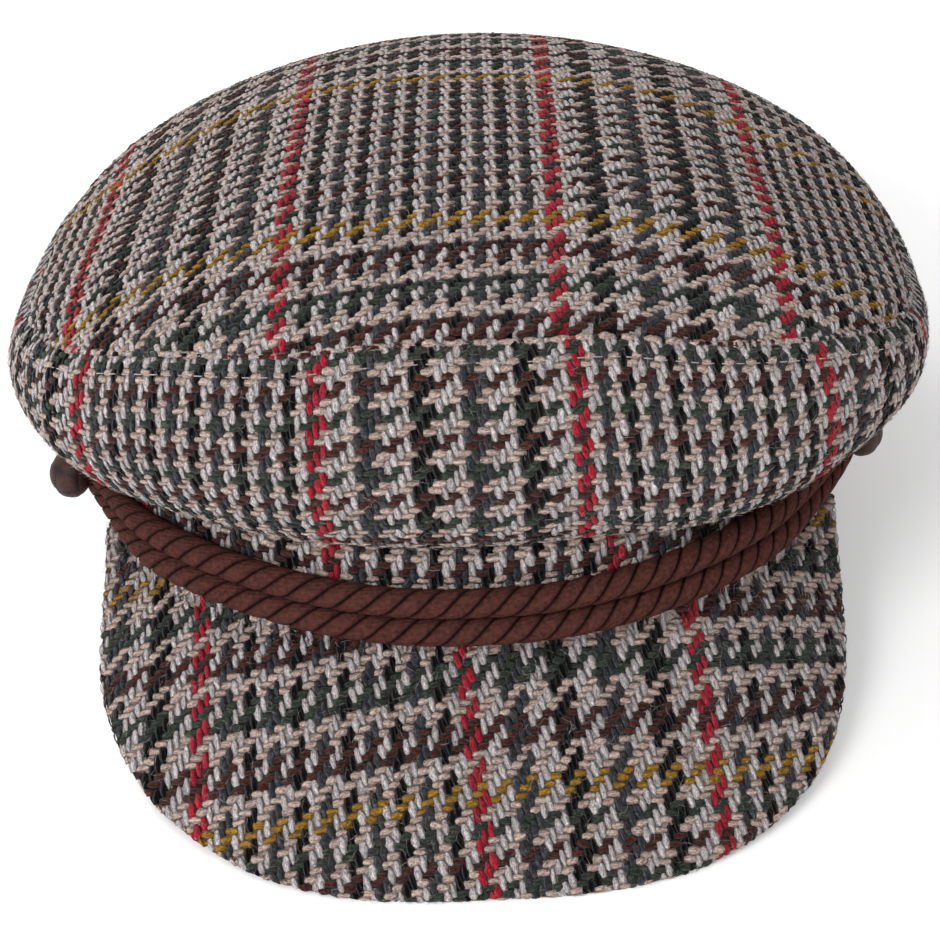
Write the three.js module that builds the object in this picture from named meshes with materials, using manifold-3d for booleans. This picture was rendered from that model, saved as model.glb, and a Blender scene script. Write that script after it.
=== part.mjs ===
import * as THREE from 'three';
import { mergeVertices } from 'three/addons/utils/BufferGeometryUtils.js';
import Module from 'manifold-3d';

// A fiddler cap in checked woollen tweed, resting by itself on a surface.
// Millimetres. Every piece is worked out in the cap's own frame, with the head opening level
// in the plane z = 0 and the front towards -Y. An angle round the cap is 0 at the front and
// grows towards +X. The last step tips the cap back onto its peak and the back of its band.

const seamGap = 0.3;
const clothWall = 2;
const up = new THREE.Vector3(0, 0, 1);
const degree = Math.PI / 180;

// Headband: an oval hoop of doubled cloth round a head of about 58 cm
const head = { halfWidth: 95.2, halfLength: 95.8, power: 2.15 };
const band = { height: 27.2, wall: 3, columns: 96 };

// Crown: the seam round the top panel, wider than the band and leaning a little to the right
const crown = {
  halfWidth: 116.1, halfLength: 108.4, power: 2.85, right: 5.1, back: 3.1, skew: 0.07, columns: 96,
};
const seamHeight = { mean: 73.7, front: 2.5, frontAndBack: 13.8, threefold: -2.7, right: -2.9 };
const top = { rise: 105.4, power: 2.44, rows: 8 };

// Side panel: how it leaves the top seam and meets the band, at the front, sides and back.
// Leave and meet are lengths of the profile's handles, and fall and lift their slopes in degrees.
const sideProfile = [
  { angle: 0, leave: 22, fall: 84, meet: 21, lift: 30 },
  { angle: 90, leave: 24, fall: 56, meet: 20, lift: -5 },
  { angle: 180, leave: 23, fall: 66, meet: 20, lift: 7 },
];
const side = { rows: 7, seamAngle: 90 };

// Soft unevenness of worn cloth: humps and hollows of the top seam, dents of the top panel
// and upright folds round the side panel
const seamHumps = [
  { angle: 17, spread: 8, height: 2.0 },
  { angle: -22, spread: 9, height: -1.5 },
  { angle: -52, spread: 12, height: -1.8 },
  { angle: 58, spread: 12, height: -1.0 },
];
const topDents = [
  { x: -22, y: -80, length: 34, width: 12, depth: 1.6 },
  { x: 48, y: -72, length: 20, width: 11, depth: 1.1 },
  { x: -74, y: -8, length: 16, width: 34, depth: 1.8 },
  { x: 76, y: 10, length: 14, width: 30, depth: 1.4 },
  { x: 6, y: 30, length: 46, width: 16, depth: 1.0 },
];
const sideFolds = { count: 15, depth: 0.9, phase: 0.7 };

// Peak: a board covered in cloth on both sides, sewn under the front of the band
const peak = {
  halfAngle: 72.5, halfWidth: 98.1, reach: 110.3, power: 2.8, drop: 44.7, dropPower: 0.76,
  flare: 2.4, right: 1.8, bow: 1.6, wall: 3.6, columns: 36, rows: 6, lip: 1,
};

// Two twisted cords lie one above the other on the band's front, between two buttons
const cord = {
  radius: 3.8, lowest: 6.5, rise: 4.5, riseFrom: 5, riseTo: 50, pitch: 7.75, sides: 8, steps: 44,
};
const button = { angle: 77, height: 15.6, radius: 6.5, shank: 2, sides: 16 };

// Where the cloth touches the surface it is pressed flat by this much
const restPress = 0.8;
// Moves that bring the middle of the resting cap's box over its origin
const restShift = { x: -4.3, y: 8.7 };

const tweed = { color: 0x77706a, roughness: 0.95, metalness: 0 };
const looks = {
  crown_top: tweed,
  side_front: { ...tweed, color: 0x6f6a66 },
  side_back: { ...tweed, color: 0x6a6561 },
  band: { ...tweed, color: 0x5f5b58 },
  peak: { ...tweed, color: 0x746d67 },
  cord: { color: 0x55302a, roughness: 0.85, metalness: 0 },
  button: { color: 0x4a2a20, roughness: 0.55, metalness: 0 },
};

function smooth(from, to, value) {
  const t = THREE.MathUtils.clamp((value - from) / (to - from), 0, 1);
  return t * t * (3 - 2 * t);
}

// Point of an oval at an angle from the front, with its sides fuller than an ellipse's
function oval(angle, { halfWidth, halfLength, power }) {
  const s = Math.sin(angle);
  const c = Math.cos(angle);
  const scale = (Math.abs(s) ** power + Math.abs(c) ** power) ** (-1 / power);
  return new THREE.Vector3(halfWidth * s * scale, -halfLength * c * scale, 0);
}

// Level direction that points straight out of the headband at an angle
function bandOutward(angle) {
  const ahead = oval(angle + 0.001, head);
  const behind = oval(angle - 0.001, head);
  return ahead.sub(behind).cross(up).normalize();
}

function bandPoint(angle, out, height) {
  return oval(angle, head).addScaledVector(bandOutward(angle), out).setZ(height);
}

function humpAt(angle, { angle: middle, spread, height }) {
  const away = Math.atan2(Math.sin(angle - middle * degree), Math.cos(angle - middle * degree));
  return height * Math.exp(-((away / (spread * degree)) ** 2));
}

function seamZ(angle) {
  const { mean, front, frontAndBack, threefold, right } = seamHeight;
  const humps = seamHumps.reduce((sum, hump) => sum + humpAt(angle, hump), 0);
  return mean + front * Math.cos(angle) + frontAndBack * Math.cos(2 * angle)
    + threefold * Math.cos(3 * angle) + right * Math.sin(angle) + humps;
}

function seamPoint(angle) {
  const point = oval(angle, crown);
  point.y += crown.back;
  point.x += crown.right + crown.skew * point.y;
  return point.setZ(seamZ(angle));
}

function dentAt(x, y, dent) {
  const across = (x - dent.x) / dent.length;
  const along = (y - dent.y) / dent.width;
  return dent.depth * Math.exp(-across * across - along * along);
}

// Top panel: radius 0 is its middle and 1 its seam. Each wave of the seam's height fades
// towards the middle at its own rate, so the dome stays smooth there.
function topPoint(angle, radius) {
  const { mean, front, frontAndBack, threefold, right } = seamHeight;
  const seam = seamPoint(angle);
  const middle = new THREE.Vector3(crown.right, crown.back, 0);
  const point = new THREE.Vector3().lerpVectors(middle, seam, radius);
  const humps = seamHumps.reduce((sum, hump) => sum + humpAt(angle, hump), 0);
  const dents = topDents.reduce((sum, dent) => sum + dentAt(point.x, point.y, dent), 0);
  const fade = 1 - radius ** 8;
  return point.setZ(top.rise + (mean - top.rise) * radius ** top.power
    + (front * Math.cos(angle) + right * Math.sin(angle)) * radius
    + frontAndBack * Math.cos(2 * angle) * radius ** 2
    + threefold * Math.cos(3 * angle) * radius ** 3
    + humps * radius ** 6 - dents * fade);
}

function profileAt(angle) {
  const turned = Math.abs(Math.atan2(Math.sin(angle), Math.cos(angle))) / degree;
  const after = Math.max(1, sideProfile.findIndex((row) => row.angle >= turned));
  const [low, high] = [sideProfile[after - 1], sideProfile[after]];
  const t = smooth(low.angle, high.angle, turned);
  const between = (name) => low[name] + (high[name] - low[name]) * t;
  return {
    leave: between('leave'), fall: between('fall') * degree,
    meet: between('meet'), lift: between('lift') * degree,
  };
}

// Side panel: depth 0 is the top seam and 1 the band. A cubic curve puffs it out between.
function sidePoint(angle, depth) {
  const { leave, fall, meet, lift } = profileAt(angle);
  const out = bandOutward(angle);
  const seam = seamPoint(angle);
  const foot = bandPoint(angle, 0, band.height);
  const leaving = seam.clone().addScaledVector(out, leave * Math.cos(fall));
  leaving.z -= leave * Math.sin(fall);
  const meeting = foot.clone().addScaledVector(out, meet * Math.cos(lift));
  meeting.z += meet * Math.sin(lift);
  const curve = new THREE.CubicBezierCurve3(seam, leaving, meeting, foot);
  const wave = Math.sin(sideFolds.count * angle + sideFolds.phase) * Math.sin(3 * angle + 1);
  const strength = sideFolds.depth * (depth * (1 - depth)) * 4 * (0.3 + 0.7 * Math.sin(angle / 2) ** 2);
  return curve.getPoint(depth).addScaledVector(out, wave * strength);
}

// Peak: across runs from -1 at the left corner to 1 at the right, and reach from 0 at the
// band to 1 at the edge. In plan the edge is a fuller half oval, and it drops towards the front.
function peakPoint(across, reach) {
  const root = bandPoint(across * peak.halfAngle * degree, 0, -seamGap);
  const corner = bandPoint(peak.halfAngle * degree, 0, 0);
  const turn = (1 - Math.abs(across)) * 90 * degree;
  const c = Math.cos(turn);
  const s = Math.sin(turn);
  const scale = (Math.abs(c) ** peak.power + Math.abs(s) ** peak.power) ** (-1 / peak.power);
  const fall = peak.drop * (s * scale) ** peak.dropPower;
  const edge = new THREE.Vector3(
    peak.right * (1 - s) + Math.sign(across) * (peak.halfWidth - peak.flare * (1 - s) ** 2) * c * scale,
    corner.y - peak.reach * s * scale,
    -seamGap - fall,
  );
  const bow = peak.bow * 4 * reach * (1 - reach) * (1 - across * across);
  return root.lerp(edge, reach).addScaledVector(up, bow);
}

// Outward normal of a surface given as point(u, v), with u running round towards +X
// and v away from the top
function normalAt(point, u, v) {
  const step = 0.002;
  const alongU = point(u + step, v).sub(point(u - step, v));
  const alongV = point(u, v + step).sub(point(u, v - step));
  return alongV.cross(alongU).normalize();
}

// From a point of the top seam to the inner edge of the wall there, along the bisector of
// the top and side panels, so that their cut edges lie face to face
function seamMiter(angle) {
  const topNormal = normalAt(topPoint, angle, 1);
  const bisector = topNormal.clone().add(normalAt(sidePoint, angle, 0)).normalize();
  return bisector.multiplyScalar(-clothWall / bisector.dot(topNormal));
}

function seamCut(angle) {
  const along = seamPoint(angle + 0.002).sub(seamPoint(angle - 0.002)).normalize();
  return along.cross(seamMiter(angle)).normalize().multiplyScalar(seamGap / 2);
}

function geometryOf(points, triangles) {
  const geometry = new THREE.BufferGeometry();
  const numbers = points.flatMap((point) => point.toArray());
  geometry.setAttribute('position', new THREE.Float32BufferAttribute(numbers, 3));
  const solid = triangles.filter(([a, b, c]) => {
    const [p, q, r] = [points[a], points[b], points[c]];
    return p.distanceTo(q) > 1e-4 && q.distanceTo(r) > 1e-4 && r.distanceTo(p) > 1e-4;
  });
  geometry.setIndex(solid.flat());
  return mergeVertices(geometry, 1e-4);
}

// Closed wall between an outer and an inner grid of points, each a list of rows.
// Round means that the last column joins the first.
function wallBetween(outer, inner, round) {
  const rows = outer.length;
  const columns = outer[0].length;
  const points = [...outer.flat(), ...inner.flat()];
  const triangles = [];
  const quad = (a, b, c, d) => triangles.push([a, b, c], [a, c, d]);
  const outside = (row, column) => row * columns + (column % columns);
  const inside = (row, column) => rows * columns + outside(row, column);
  const lastColumn = round ? columns : columns - 1;
  for (let row = 0; row < rows - 1; row += 1) {
    for (let column = 0; column < lastColumn; column += 1) {
      quad(outside(row, column), outside(row + 1, column), outside(row + 1, column + 1), outside(row, column + 1));
      quad(inside(row, column), inside(row, column + 1), inside(row + 1, column + 1), inside(row + 1, column));
    }
    if (!round) {
      quad(outside(row, 0), inside(row, 0), inside(row + 1, 0), outside(row + 1, 0));
      quad(outside(row, lastColumn), outside(row + 1, lastColumn), inside(row + 1, lastColumn), inside(row, lastColumn));
    }
  }
  for (let column = 0; column < lastColumn; column += 1) {
    quad(outside(0, column), outside(0, column + 1), inside(0, column + 1), inside(0, column));
    const row = rows - 1;
    quad(outside(row, column), inside(row, column), inside(row, column + 1), outside(row, column + 1));
  }
  return geometryOf(points, triangles);
}

function range(from, to, count, includeEnd) {
  const steps = includeEnd ? count - 1 : count;
  return Array.from({ length: count }, (_, i) => from + ((to - from) * i) / steps);
}

function crownTop() {
  const angles = range(-Math.PI, Math.PI, crown.columns, false);
  const radii = range(0, 1, top.rows + 1, true).map((t) => t ** 0.8);
  const outer = radii.map((radius) => angles.map((angle) => (
    radius === 1 ? seamPoint(angle).add(seamCut(angle)) : topPoint(angle, radius))));
  const inner = radii.map((radius, row) => angles.map((angle, column) => {
    const point = outer[row][column].clone();
    if (radius === 0) return point.addScaledVector(up, -clothWall);
    if (radius === 1) return point.add(seamMiter(angle));
    return point.addScaledVector(normalAt(topPoint, angle, radius), -clothWall);
  }));
  return wallBetween(outer, inner, true);
}

function sidePanel(fromAngle, toAngle) {
  const edge = seamGap / 2 / crown.halfWidth;
  const columns = crown.columns / 2 + 1;
  const angles = range(fromAngle * degree + edge, toAngle * degree - edge, columns, true);
  const depths = range(0, 1, side.rows + 1, true);
  const outer = depths.map((depth) => angles.map((angle) => (
    depth === 0 ? seamPoint(angle).sub(seamCut(angle)) : sidePoint(angle, depth))));
  const inner = depths.map((depth, row) => angles.map((angle, column) => {
    const point = outer[row][column].clone();
    if (depth === 0) return point.add(seamMiter(angle));
    if (depth === 1) return point.addScaledVector(bandOutward(angle), -clothWall);
    return point.addScaledVector(normalAt(sidePoint, angle, depth), -clothWall);
  }));
  return wallBetween(outer, inner, false);
}

function headband() {
  const angles = range(-Math.PI, Math.PI, band.columns, false);
  const heights = [band.height - seamGap, 0];
  const outer = heights.map((height) => angles.map((angle) => bandPoint(angle, 0, height)));
  const inner = heights.map((height) => angles.map((angle) => bandPoint(angle, -band.wall, height)));
  return wallBetween(outer, inner, true);
}

function peakBoard() {
  const acrosses = range(-1, 1, peak.columns + 1, true);
  const reaches = range(0, 1, peak.rows + 1, true);
  const outer = reaches.map((reach) => acrosses.map((across) => peakPoint(across, reach)));
  const inner = reaches.map((reach) => acrosses.map((across) => {
    const point = peakPoint(across, reach);
    if (reach === 0) return bandPoint(across * peak.halfAngle * degree, -band.wall, -seamGap);
    const within = THREE.MathUtils.clamp(across, -0.97, 0.97);
    return point.addScaledVector(normalAt(peakPoint, within, reach), -peak.wall);
  }));
  // The folded edge is a rounded lip midway between the two skins
  const lip = acrosses.map((across, column) => {
    const rim = outer.at(-1)[column];
    const away = rim.clone().sub(outer.at(-2)[column]).normalize();
    return rim.clone().lerp(inner.at(-1)[column], 0.5).addScaledVector(away, peak.lip);
  });
  outer.push(lip);
  inner.push(lip.map((point) => point.clone()));
  return wallBetween(outer, inner, false);
}

function cordHeight(angle, level) {
  const { lowest, rise, riseFrom, riseTo, pitch } = cord;
  return lowest + level * pitch + rise * smooth(riseFrom, riseTo, Math.abs(angle) / degree);
}

// One cord, level 0 the lower and 1 the upper, ending just short of the buttons' shanks
function bandCord(level) {
  const end = button.angle * degree - (button.shank + seamGap) / head.halfLength;
  const out = cord.radius + seamGap;
  const route = range(-end, end, 25, true).map((angle) => bandPoint(angle, out, cordHeight(angle, level)));
  const round = new THREE.Shape(range(0, 2 * Math.PI, cord.sides, false).map((turn) => (
    new THREE.Vector2(cord.radius * Math.cos(turn), cord.radius * Math.sin(turn)))));
  const geometry = new THREE.ExtrudeGeometry(round, {
    steps: cord.steps, extrudePath: new THREE.CatmullRomCurve3(route), bevelEnabled: false,
  });
  geometry.deleteAttribute('normal');
  geometry.deleteAttribute('uv');
  return mergeVertices(geometry, 1e-4);
}

// A ball-like button on a shank, over the ends of the two cords
function cordButton(sideSign) {
  const seat = 2 * (cord.radius + seamGap);
  const profile = [
    [0, seamGap], [button.shank, seamGap], [button.shank, seat], [4.6, seat + 0.3], [6.1, seat + 1.7],
    [button.radius, seat + 3.4], [5.9, seat + 5.2], [4.1, seat + 6.7], [0, seat + 7.4],
  ].map(([radius, height]) => new THREE.Vector2(radius, height));
  const geometry = new THREE.LatheGeometry(profile, button.sides);
  geometry.deleteAttribute('normal');
  geometry.deleteAttribute('uv');
  const angle = sideSign * button.angle * degree;
  const turn = new THREE.Quaternion().setFromUnitVectors(new THREE.Vector3(0, 1, 0), bandOutward(angle));
  geometry.applyQuaternion(turn);
  const place = bandPoint(angle, 0, button.height);
  geometry.translate(place.x, place.y, place.z);
  return mergeVertices(geometry, 1e-4);
}

const wasm = await Module();
wasm.setup();

function toSolid(geometry) {
  const vertProperties = new Float32Array(geometry.attributes.position.array);
  const triVerts = new Uint32Array(geometry.index.array);
  return new wasm.Manifold(new wasm.Mesh({ numProp: 3, vertProperties, triVerts }));
}

function fromSolid(solid) {
  const mesh = solid.getMesh();
  const geometry = new THREE.BufferGeometry();
  geometry.setAttribute('position', new THREE.Float32BufferAttribute(mesh.vertProperties, 3));
  geometry.setIndex(Array.from(mesh.triVerts));
  return geometry;
}

// How far the cap tips back when it lies on its peak and the back of its band
function restTilt(peakGeometry) {
  const back = bandPoint(Math.PI, 0, 0);
  const places = peakGeometry.attributes.position;
  let tilt = 0;
  for (let i = 0; i < places.count; i += 1) {
    tilt = Math.max(tilt, Math.atan2(-places.getZ(i), back.y - places.getY(i)));
  }
  return tilt;
}

const peakGeometry = peakBoard();
const tilt = restTilt(peakGeometry);
const backDown = bandPoint(Math.PI, 0, 0).y * Math.sin(tilt);
const rest = new THREE.Matrix4()
  .makeTranslation(restShift.x, restShift.y, backDown - restPress)
  .multiply(new THREE.Matrix4().makeRotationX(-tilt));

// Everything under the surface is taken off, which leaves the flats that the cap rests on
const underfoot = mergeVertices((() => {
  const block = new THREE.BoxGeometry(400, 400, 20);
  block.deleteAttribute('normal');
  block.deleteAttribute('uv');
  return block.translate(0, 0, -10);
})(), 1e-4);

function pressed(geometry) {
  return fromSolid(toSolid(geometry.applyMatrix4(rest)).subtract(toSolid(underfoot)));
}

function piece(name, geometry, look) {
  const mesh = new THREE.Mesh(geometry, new THREE.MeshStandardMaterial(look));
  mesh.name = name;
  return mesh;
}

const standing = [
  piece('band', pressed(headband()), looks.band),
  piece('peak', pressed(peakGeometry), looks.peak),
];
const carried = [
  piece('crown_top', crownTop(), looks.crown_top),
  piece('side_front', sidePanel(-side.seamAngle, side.seamAngle), looks.side_front),
  piece('side_back', sidePanel(side.seamAngle, 360 - side.seamAngle), looks.side_back),
  piece('cord_lower', bandCord(0), looks.cord),
  piece('cord_upper', bandCord(1), looks.cord),
  piece('button_left', cordButton(-1), looks.button),
  piece('button_right', cordButton(1), looks.button),
];

const cap = new THREE.Group();
const tipped = new THREE.Group();
tipped.applyMatrix4(rest);
tipped.add(...carried);
cap.add(tipped, ...standing);

export default cap;
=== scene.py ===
import math

import bpy
import numpy as np
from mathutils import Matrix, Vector


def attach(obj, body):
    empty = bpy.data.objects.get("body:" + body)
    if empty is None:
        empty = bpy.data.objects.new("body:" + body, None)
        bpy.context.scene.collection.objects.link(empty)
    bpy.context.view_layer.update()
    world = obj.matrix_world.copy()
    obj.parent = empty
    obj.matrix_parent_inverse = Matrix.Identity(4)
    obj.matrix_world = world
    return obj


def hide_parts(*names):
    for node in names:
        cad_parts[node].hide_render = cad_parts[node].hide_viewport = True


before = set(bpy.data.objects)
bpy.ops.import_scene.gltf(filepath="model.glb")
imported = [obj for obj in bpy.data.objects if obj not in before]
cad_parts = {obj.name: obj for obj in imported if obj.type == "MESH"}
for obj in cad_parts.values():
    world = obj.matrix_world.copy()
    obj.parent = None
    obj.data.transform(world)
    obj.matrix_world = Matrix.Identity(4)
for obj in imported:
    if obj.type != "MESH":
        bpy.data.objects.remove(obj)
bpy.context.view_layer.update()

rng = np.random.default_rng(11)
degree = math.pi / 180
perMillimetre = 1000  # texture scales count per metre

# A fiddler cap in checked woollen tweed. The cap's own frame is in millimetres, with the head
# opening level in the plane z = 0 and the front towards -Y. placed() tips it back onto its peak
# and the back of its band, and turns it to metres. An angle round the cap is 0 at the front and
# grows towards +X, to the right as seen from outside.
resting = {"tilt": 11.51 * degree, "right": -4.3, "back": 8.7, "press": 0.8, "clear": 0.05}

head = {"halfWidth": 95.2, "halfLength": 95.8, "power": 2.15}
crown = {"halfWidth": 116.1, "halfLength": 108.4, "power": 2.85, "right": 5.1, "back": 3.1, "skew": 0.07}
seamHeight = {"mean": 73.7, "front": 2.5, "frontAndBack": 13.8, "threefold": -2.7, "right": -2.9}
seamHumps = [(17, 8, 2.0), (-22, 9, -1.5), (-52, 12, -1.8), (58, 12, -1.0)]  # angle, spread, height


def placed(points):
    tilt = resting["tilt"]
    x, y, z = np.moveaxis(np.asarray(points, float), -1, 0)
    back = y * math.cos(tilt) + z * math.sin(tilt) + resting["back"]
    up = z * math.cos(tilt) + (head["halfLength"] - y) * math.sin(tilt) - resting["press"]
    return np.stack([x + resting["right"], back, np.maximum(up, resting["clear"])], -1) / 1000


view = {  # where the photo was taken from, fitted to the cap's outline
    "lens": 136.97, "roll": 0.4, "elevation": 35.65, "turn": 2.93,
    "target": (-0.0033, 0.0087, 0.06), "distance": 0.95, "shift": (0.00192, -0.03299),
}
lights = {  # name: place, height aimed at, size in metres, power in watts
    "key": ((-0.95, -1.15, 1.05), 0.06, 0.9, 20),
    "fill": ((1.1, -1.0, 0.8), 0.06, 1.2, 2.5),
    "above": ((-0.9, 0.8, 1.2), 0.1, 0.9, 9),
}
studio = {"sky": 0.62, "floor": 8, "paper": "#f4f4f4", "glow": 0.22}


def unit(vectors):
    return vectors / np.maximum(np.linalg.norm(vectors, axis=-1, keepdims=True), 1e-12)


def makeCamera():
    data = bpy.data.cameras.new("photo_view")
    data.lens = view["lens"]
    camera = bpy.data.objects.new("photo_view", data)
    bpy.context.collection.objects.link(camera)
    elevation, turn = view["elevation"] * degree, view["turn"] * degree
    level = math.cos(elevation)
    ahead = Vector((math.sin(turn) * level, math.cos(turn) * level, -math.sin(elevation)))
    right = Vector((math.cos(turn), -math.sin(turn), 0))
    up = right.cross(ahead)
    gaze = ahead + right * view["shift"][0] + up * view["shift"][1]
    camera.location = Vector(view["target"]) - ahead * view["distance"]
    camera.rotation_euler = gaze.to_track_quat("-Z", "Y").to_euler()
    camera.rotation_euler.rotate_axis("Z", -view["roll"] * degree)
    bpy.context.scene.camera = camera


def areaLight(name, place, height, size, power):
    data = bpy.data.lights.new(name, "AREA")
    data.shape = "DISK"
    data.size = size
    data.energy = power
    light = bpy.data.objects.new(name, data)
    bpy.context.collection.objects.link(light)
    light.location = place
    gaze = Vector((0, 0, height)) - Vector(place)
    light.rotation_euler = gaze.to_track_quat("-Z", "Y").to_euler()


def linearColour(code):
    parts = [int(code[i:i + 2], 16) / 255 for i in (1, 3, 5)]
    return tuple(c / 12.92 if c <= 0.04045 else ((c + 0.055) / 1.055) ** 2.4 for c in parts) + (1.0,)


def newMaterial(name):
    material = bpy.data.materials.new(name)
    material.use_nodes = True
    return material, material.node_tree.nodes["Principled BSDF"]


def addNode(material, kind, settings=None, inputs=None):
    node = material.node_tree.nodes.new(kind)
    for key, value in (settings or {}).items():
        setattr(node, key, value)
    for key, value in (inputs or {}).items():
        socket = node.inputs[key]
        if isinstance(value, bpy.types.NodeSocket):
            material.node_tree.links.new(value, socket)
        else:
            socket.default_value = value
    return node


def link(material, source, target):
    material.node_tree.links.new(source, target)


makeCamera()
world = bpy.data.worlds.new("studio")
world.use_nodes = True
sky = world.node_tree.nodes["Background"]
sky.inputs["Color"].default_value = (1, 1, 1, 1)
sky.inputs["Strength"].default_value = studio["sky"]
bpy.context.scene.world = world
bpy.context.scene.view_settings.view_transform = "Standard"
for name, settings in lights.items():
    areaLight(name, *settings)

bpy.ops.object.select_all(action="DESELECT")
bpy.ops.mesh.primitive_plane_add(size=studio["floor"])
floor = bpy.context.object
floor.name = "floor"
# Matt white paper: no gloss, close to pure white
paper, shader = newMaterial("matt_white_paper")
shader.inputs["Base Color"].default_value = linearColour(studio["paper"])
shader.inputs["Emission Color"].default_value = (1, 1, 1, 1)
shader.inputs["Emission Strength"].default_value = studio["glow"]
shader.inputs["Roughness"].default_value = 0.9
shader.inputs["Specular IOR Level"].default_value = 0.1
floor.data.materials.append(paper)
print("camera, light and floor are set")


def oval(angle, shape):
    s, c = np.sin(angle), np.cos(angle)
    scale = (np.abs(s) ** shape["power"] + np.abs(c) ** shape["power"]) ** (-1 / shape["power"])
    return shape["halfWidth"] * s * scale, -shape["halfLength"] * c * scale


def outward(angle):
    # Level direction away from the head, square to the band
    x0, y0 = oval(angle - 0.001, head)
    x1, y1 = oval(angle + 0.001, head)
    return unit(np.stack([y1 - y0, x0 - x1, np.zeros_like(x0)], -1))


def headPoint(angle, out, height):
    x, y = oval(angle, head)
    base = np.stack([x, y, np.broadcast_to(height, x.shape).astype(float)], -1)
    return base + outward(angle) * np.asarray(out)[..., None]


def turnedFrom(angle, middle):
    return np.arctan2(np.sin(angle - middle), np.cos(angle - middle))


def bell(distance, width):
    return np.exp(-(distance / width) ** 2)


def smoothStep(low, high, value):
    t = np.clip((value - low) / (high - low), 0, 1)
    return t * t * (3 - 2 * t)


def humpsAt(angle):
    return sum(height * bell(turnedFrom(angle, middle * degree), spread * degree)
               for middle, spread, height in seamHumps)


def seamPoint(angle):
    x, y = oval(angle, crown)
    y = y + crown["back"]
    z = (seamHeight["mean"] + seamHeight["front"] * np.cos(angle)
         + seamHeight["frontAndBack"] * np.cos(2 * angle) + seamHeight["threefold"] * np.cos(3 * angle)
         + seamHeight["right"] * np.sin(angle) + humpsAt(angle))
    return np.stack([x + crown["right"] + crown["skew"] * y, y, z], -1)


seamTuck = {"depth": 1.0, "width": 2.6}


def tucked(points, angle, distance):
    # A sewn seam pulls the cloth in beside it
    pull = seamTuck["depth"] * bell(distance, seamTuck["width"])
    return points - outward(angle) * pull[..., None] - np.array([0, 0, 1.0]) * pull[..., None]


topPanel = {
    "rise": 105.4, "power": 2.44, "half": 112,
    "edge": 0.998, "reach": 1.028,  # share of the way to the seam where the cloth and its threads end
    "dents": [  # x, y, length, width, depth
        (-22, -80, 34, 12, 1.6), (48, -72, 20, 11, 1.1), (-74, -8, 16, 34, 1.8), (76, 10, 14, 30, 1.4),
        (6, 30, 46, 16, 1.0),
    ],
    # warp thread to x at the front mustard line, and weft thread to y in the middle
    "stripes": {-82.5: -147, -37.5: -98.1, 1.5: -44.9, 46.5: 21.9, 85.5: 77.7, 130.5: 131},
    "rows": {-24.5: -105.5, 1.5: -63.5, 46.5: 32.5, 62.5: 58, 88.5: 113},
    "frontLine": -63.5, "middleLine": 32.5,  # y of the two mustard lines in the middle
    "rowTilt": 0.042, "lean": 0.07, "fan": 0.00035, "fanFrom": -45, "leanLimits": (0.02, 0.09),
}


def topShare(u, v):
    # The top panel is given by its plan, u to the right and v to the front, in decimetres.
    # This is the angle there and the share of the way from the middle to the seam.
    x, y = u * 100 - crown["right"], -v * 100 - crown["back"]
    share = np.full_like(x, 0.5)
    for _ in range(4):
        dx = x - crown["skew"] * (y + share * crown["back"])
        share = ((np.abs(dx) / crown["halfWidth"]) ** crown["power"]
                 + (np.abs(y) / crown["halfLength"]) ** crown["power"]) ** (1 / crown["power"])
    return np.arctan2(dx / crown["halfWidth"], -y / crown["halfLength"]), share


def topPoint(u, v):
    angle, share = topShare(u, v)
    x, y = u * 100, -v * 100
    dents = sum(depth * np.exp(-((x - middleX) / length) ** 2 - ((y - middleY) / width) ** 2)
                for middleX, middleY, length, width, depth in topPanel["dents"])
    z = (topPanel["rise"] + (seamHeight["mean"] - topPanel["rise"]) * share ** topPanel["power"]
         + (seamHeight["front"] * np.cos(angle) + seamHeight["right"] * np.sin(angle)) * share
         + seamHeight["frontAndBack"] * np.cos(2 * angle) * share ** 2
         + seamHeight["threefold"] * np.cos(3 * angle) * share ** 3
         + humpsAt(angle) * share ** 6 - dents * (1 - np.minimum(share, 1) ** 8))
    return tucked(np.stack([x, y, z], -1), angle, (1 - share) * topPanel["half"])


def topThreads(u, v):
    s = topPanel
    x, y = u * 100, -v * 100
    lean = (y - s["frontLine"]) * np.clip(s["lean"] - s["fan"] * (x - s["fanFrom"]), *s["leanLimits"])
    warp = np.interp(x - lean, list(s["stripes"].values()), list(s["stripes"]))
    tilt = np.interp(y, [s["frontLine"], s["middleLine"]], [s["rowTilt"], 0.0])
    weft = np.interp(y - x * tilt, list(s["rows"].values()), list(s["rows"]))
    return warp, weft


def onTop(u, v):
    return topShare(u, v)[1] < topPanel["reach"]


def keptOnTop(u, v):
    share, edge = topShare(u, v)[1], topPanel["edge"]
    shrink = np.where(share > edge, edge / np.maximum(share, 1e-6), 1)
    return (crown["right"] / 100 + (u - crown["right"] / 100) * shrink,
            -crown["back"] / 100 + (v + crown["back"] / 100) * shrink)


sidePanel = {
    "profile": {0: (22, 84, 21, 30), 90: (24, 56, 20, -5), 180: (23, 66, 20, 7)},  # leave, fall, meet, lift
    "folds": {"count": 15, "depth": 0.9, "phase": 0.7},
    "bandTop": 27.2, "footTuck": 1.0, "footWidth": 2.2,
    # the crown hangs lower on the right: how far, between which angles and depths it grows and fades
    "droop": {"fall": 3.2, "grows": (10, 32), "fades": (40, 66), "deepens": (0.2, 0.7), "ends": (0.8, 1)},
    # angle at the seam to warp thread
    "stripes": {-108: 214.5, -74: 169.5, -46: 130.5, -17.1: 85.5,
                12.4: 46.5, 41.3: 1.5, 67.6: -37.5, 101: -82.5},
    "spread": 0.27, "spreadPower": 1.3, "firstRow": 4.75, "row": 1.93,
    "backWarp": 40, "backPitch": 1.43, "backRow": 12,
}


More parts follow.
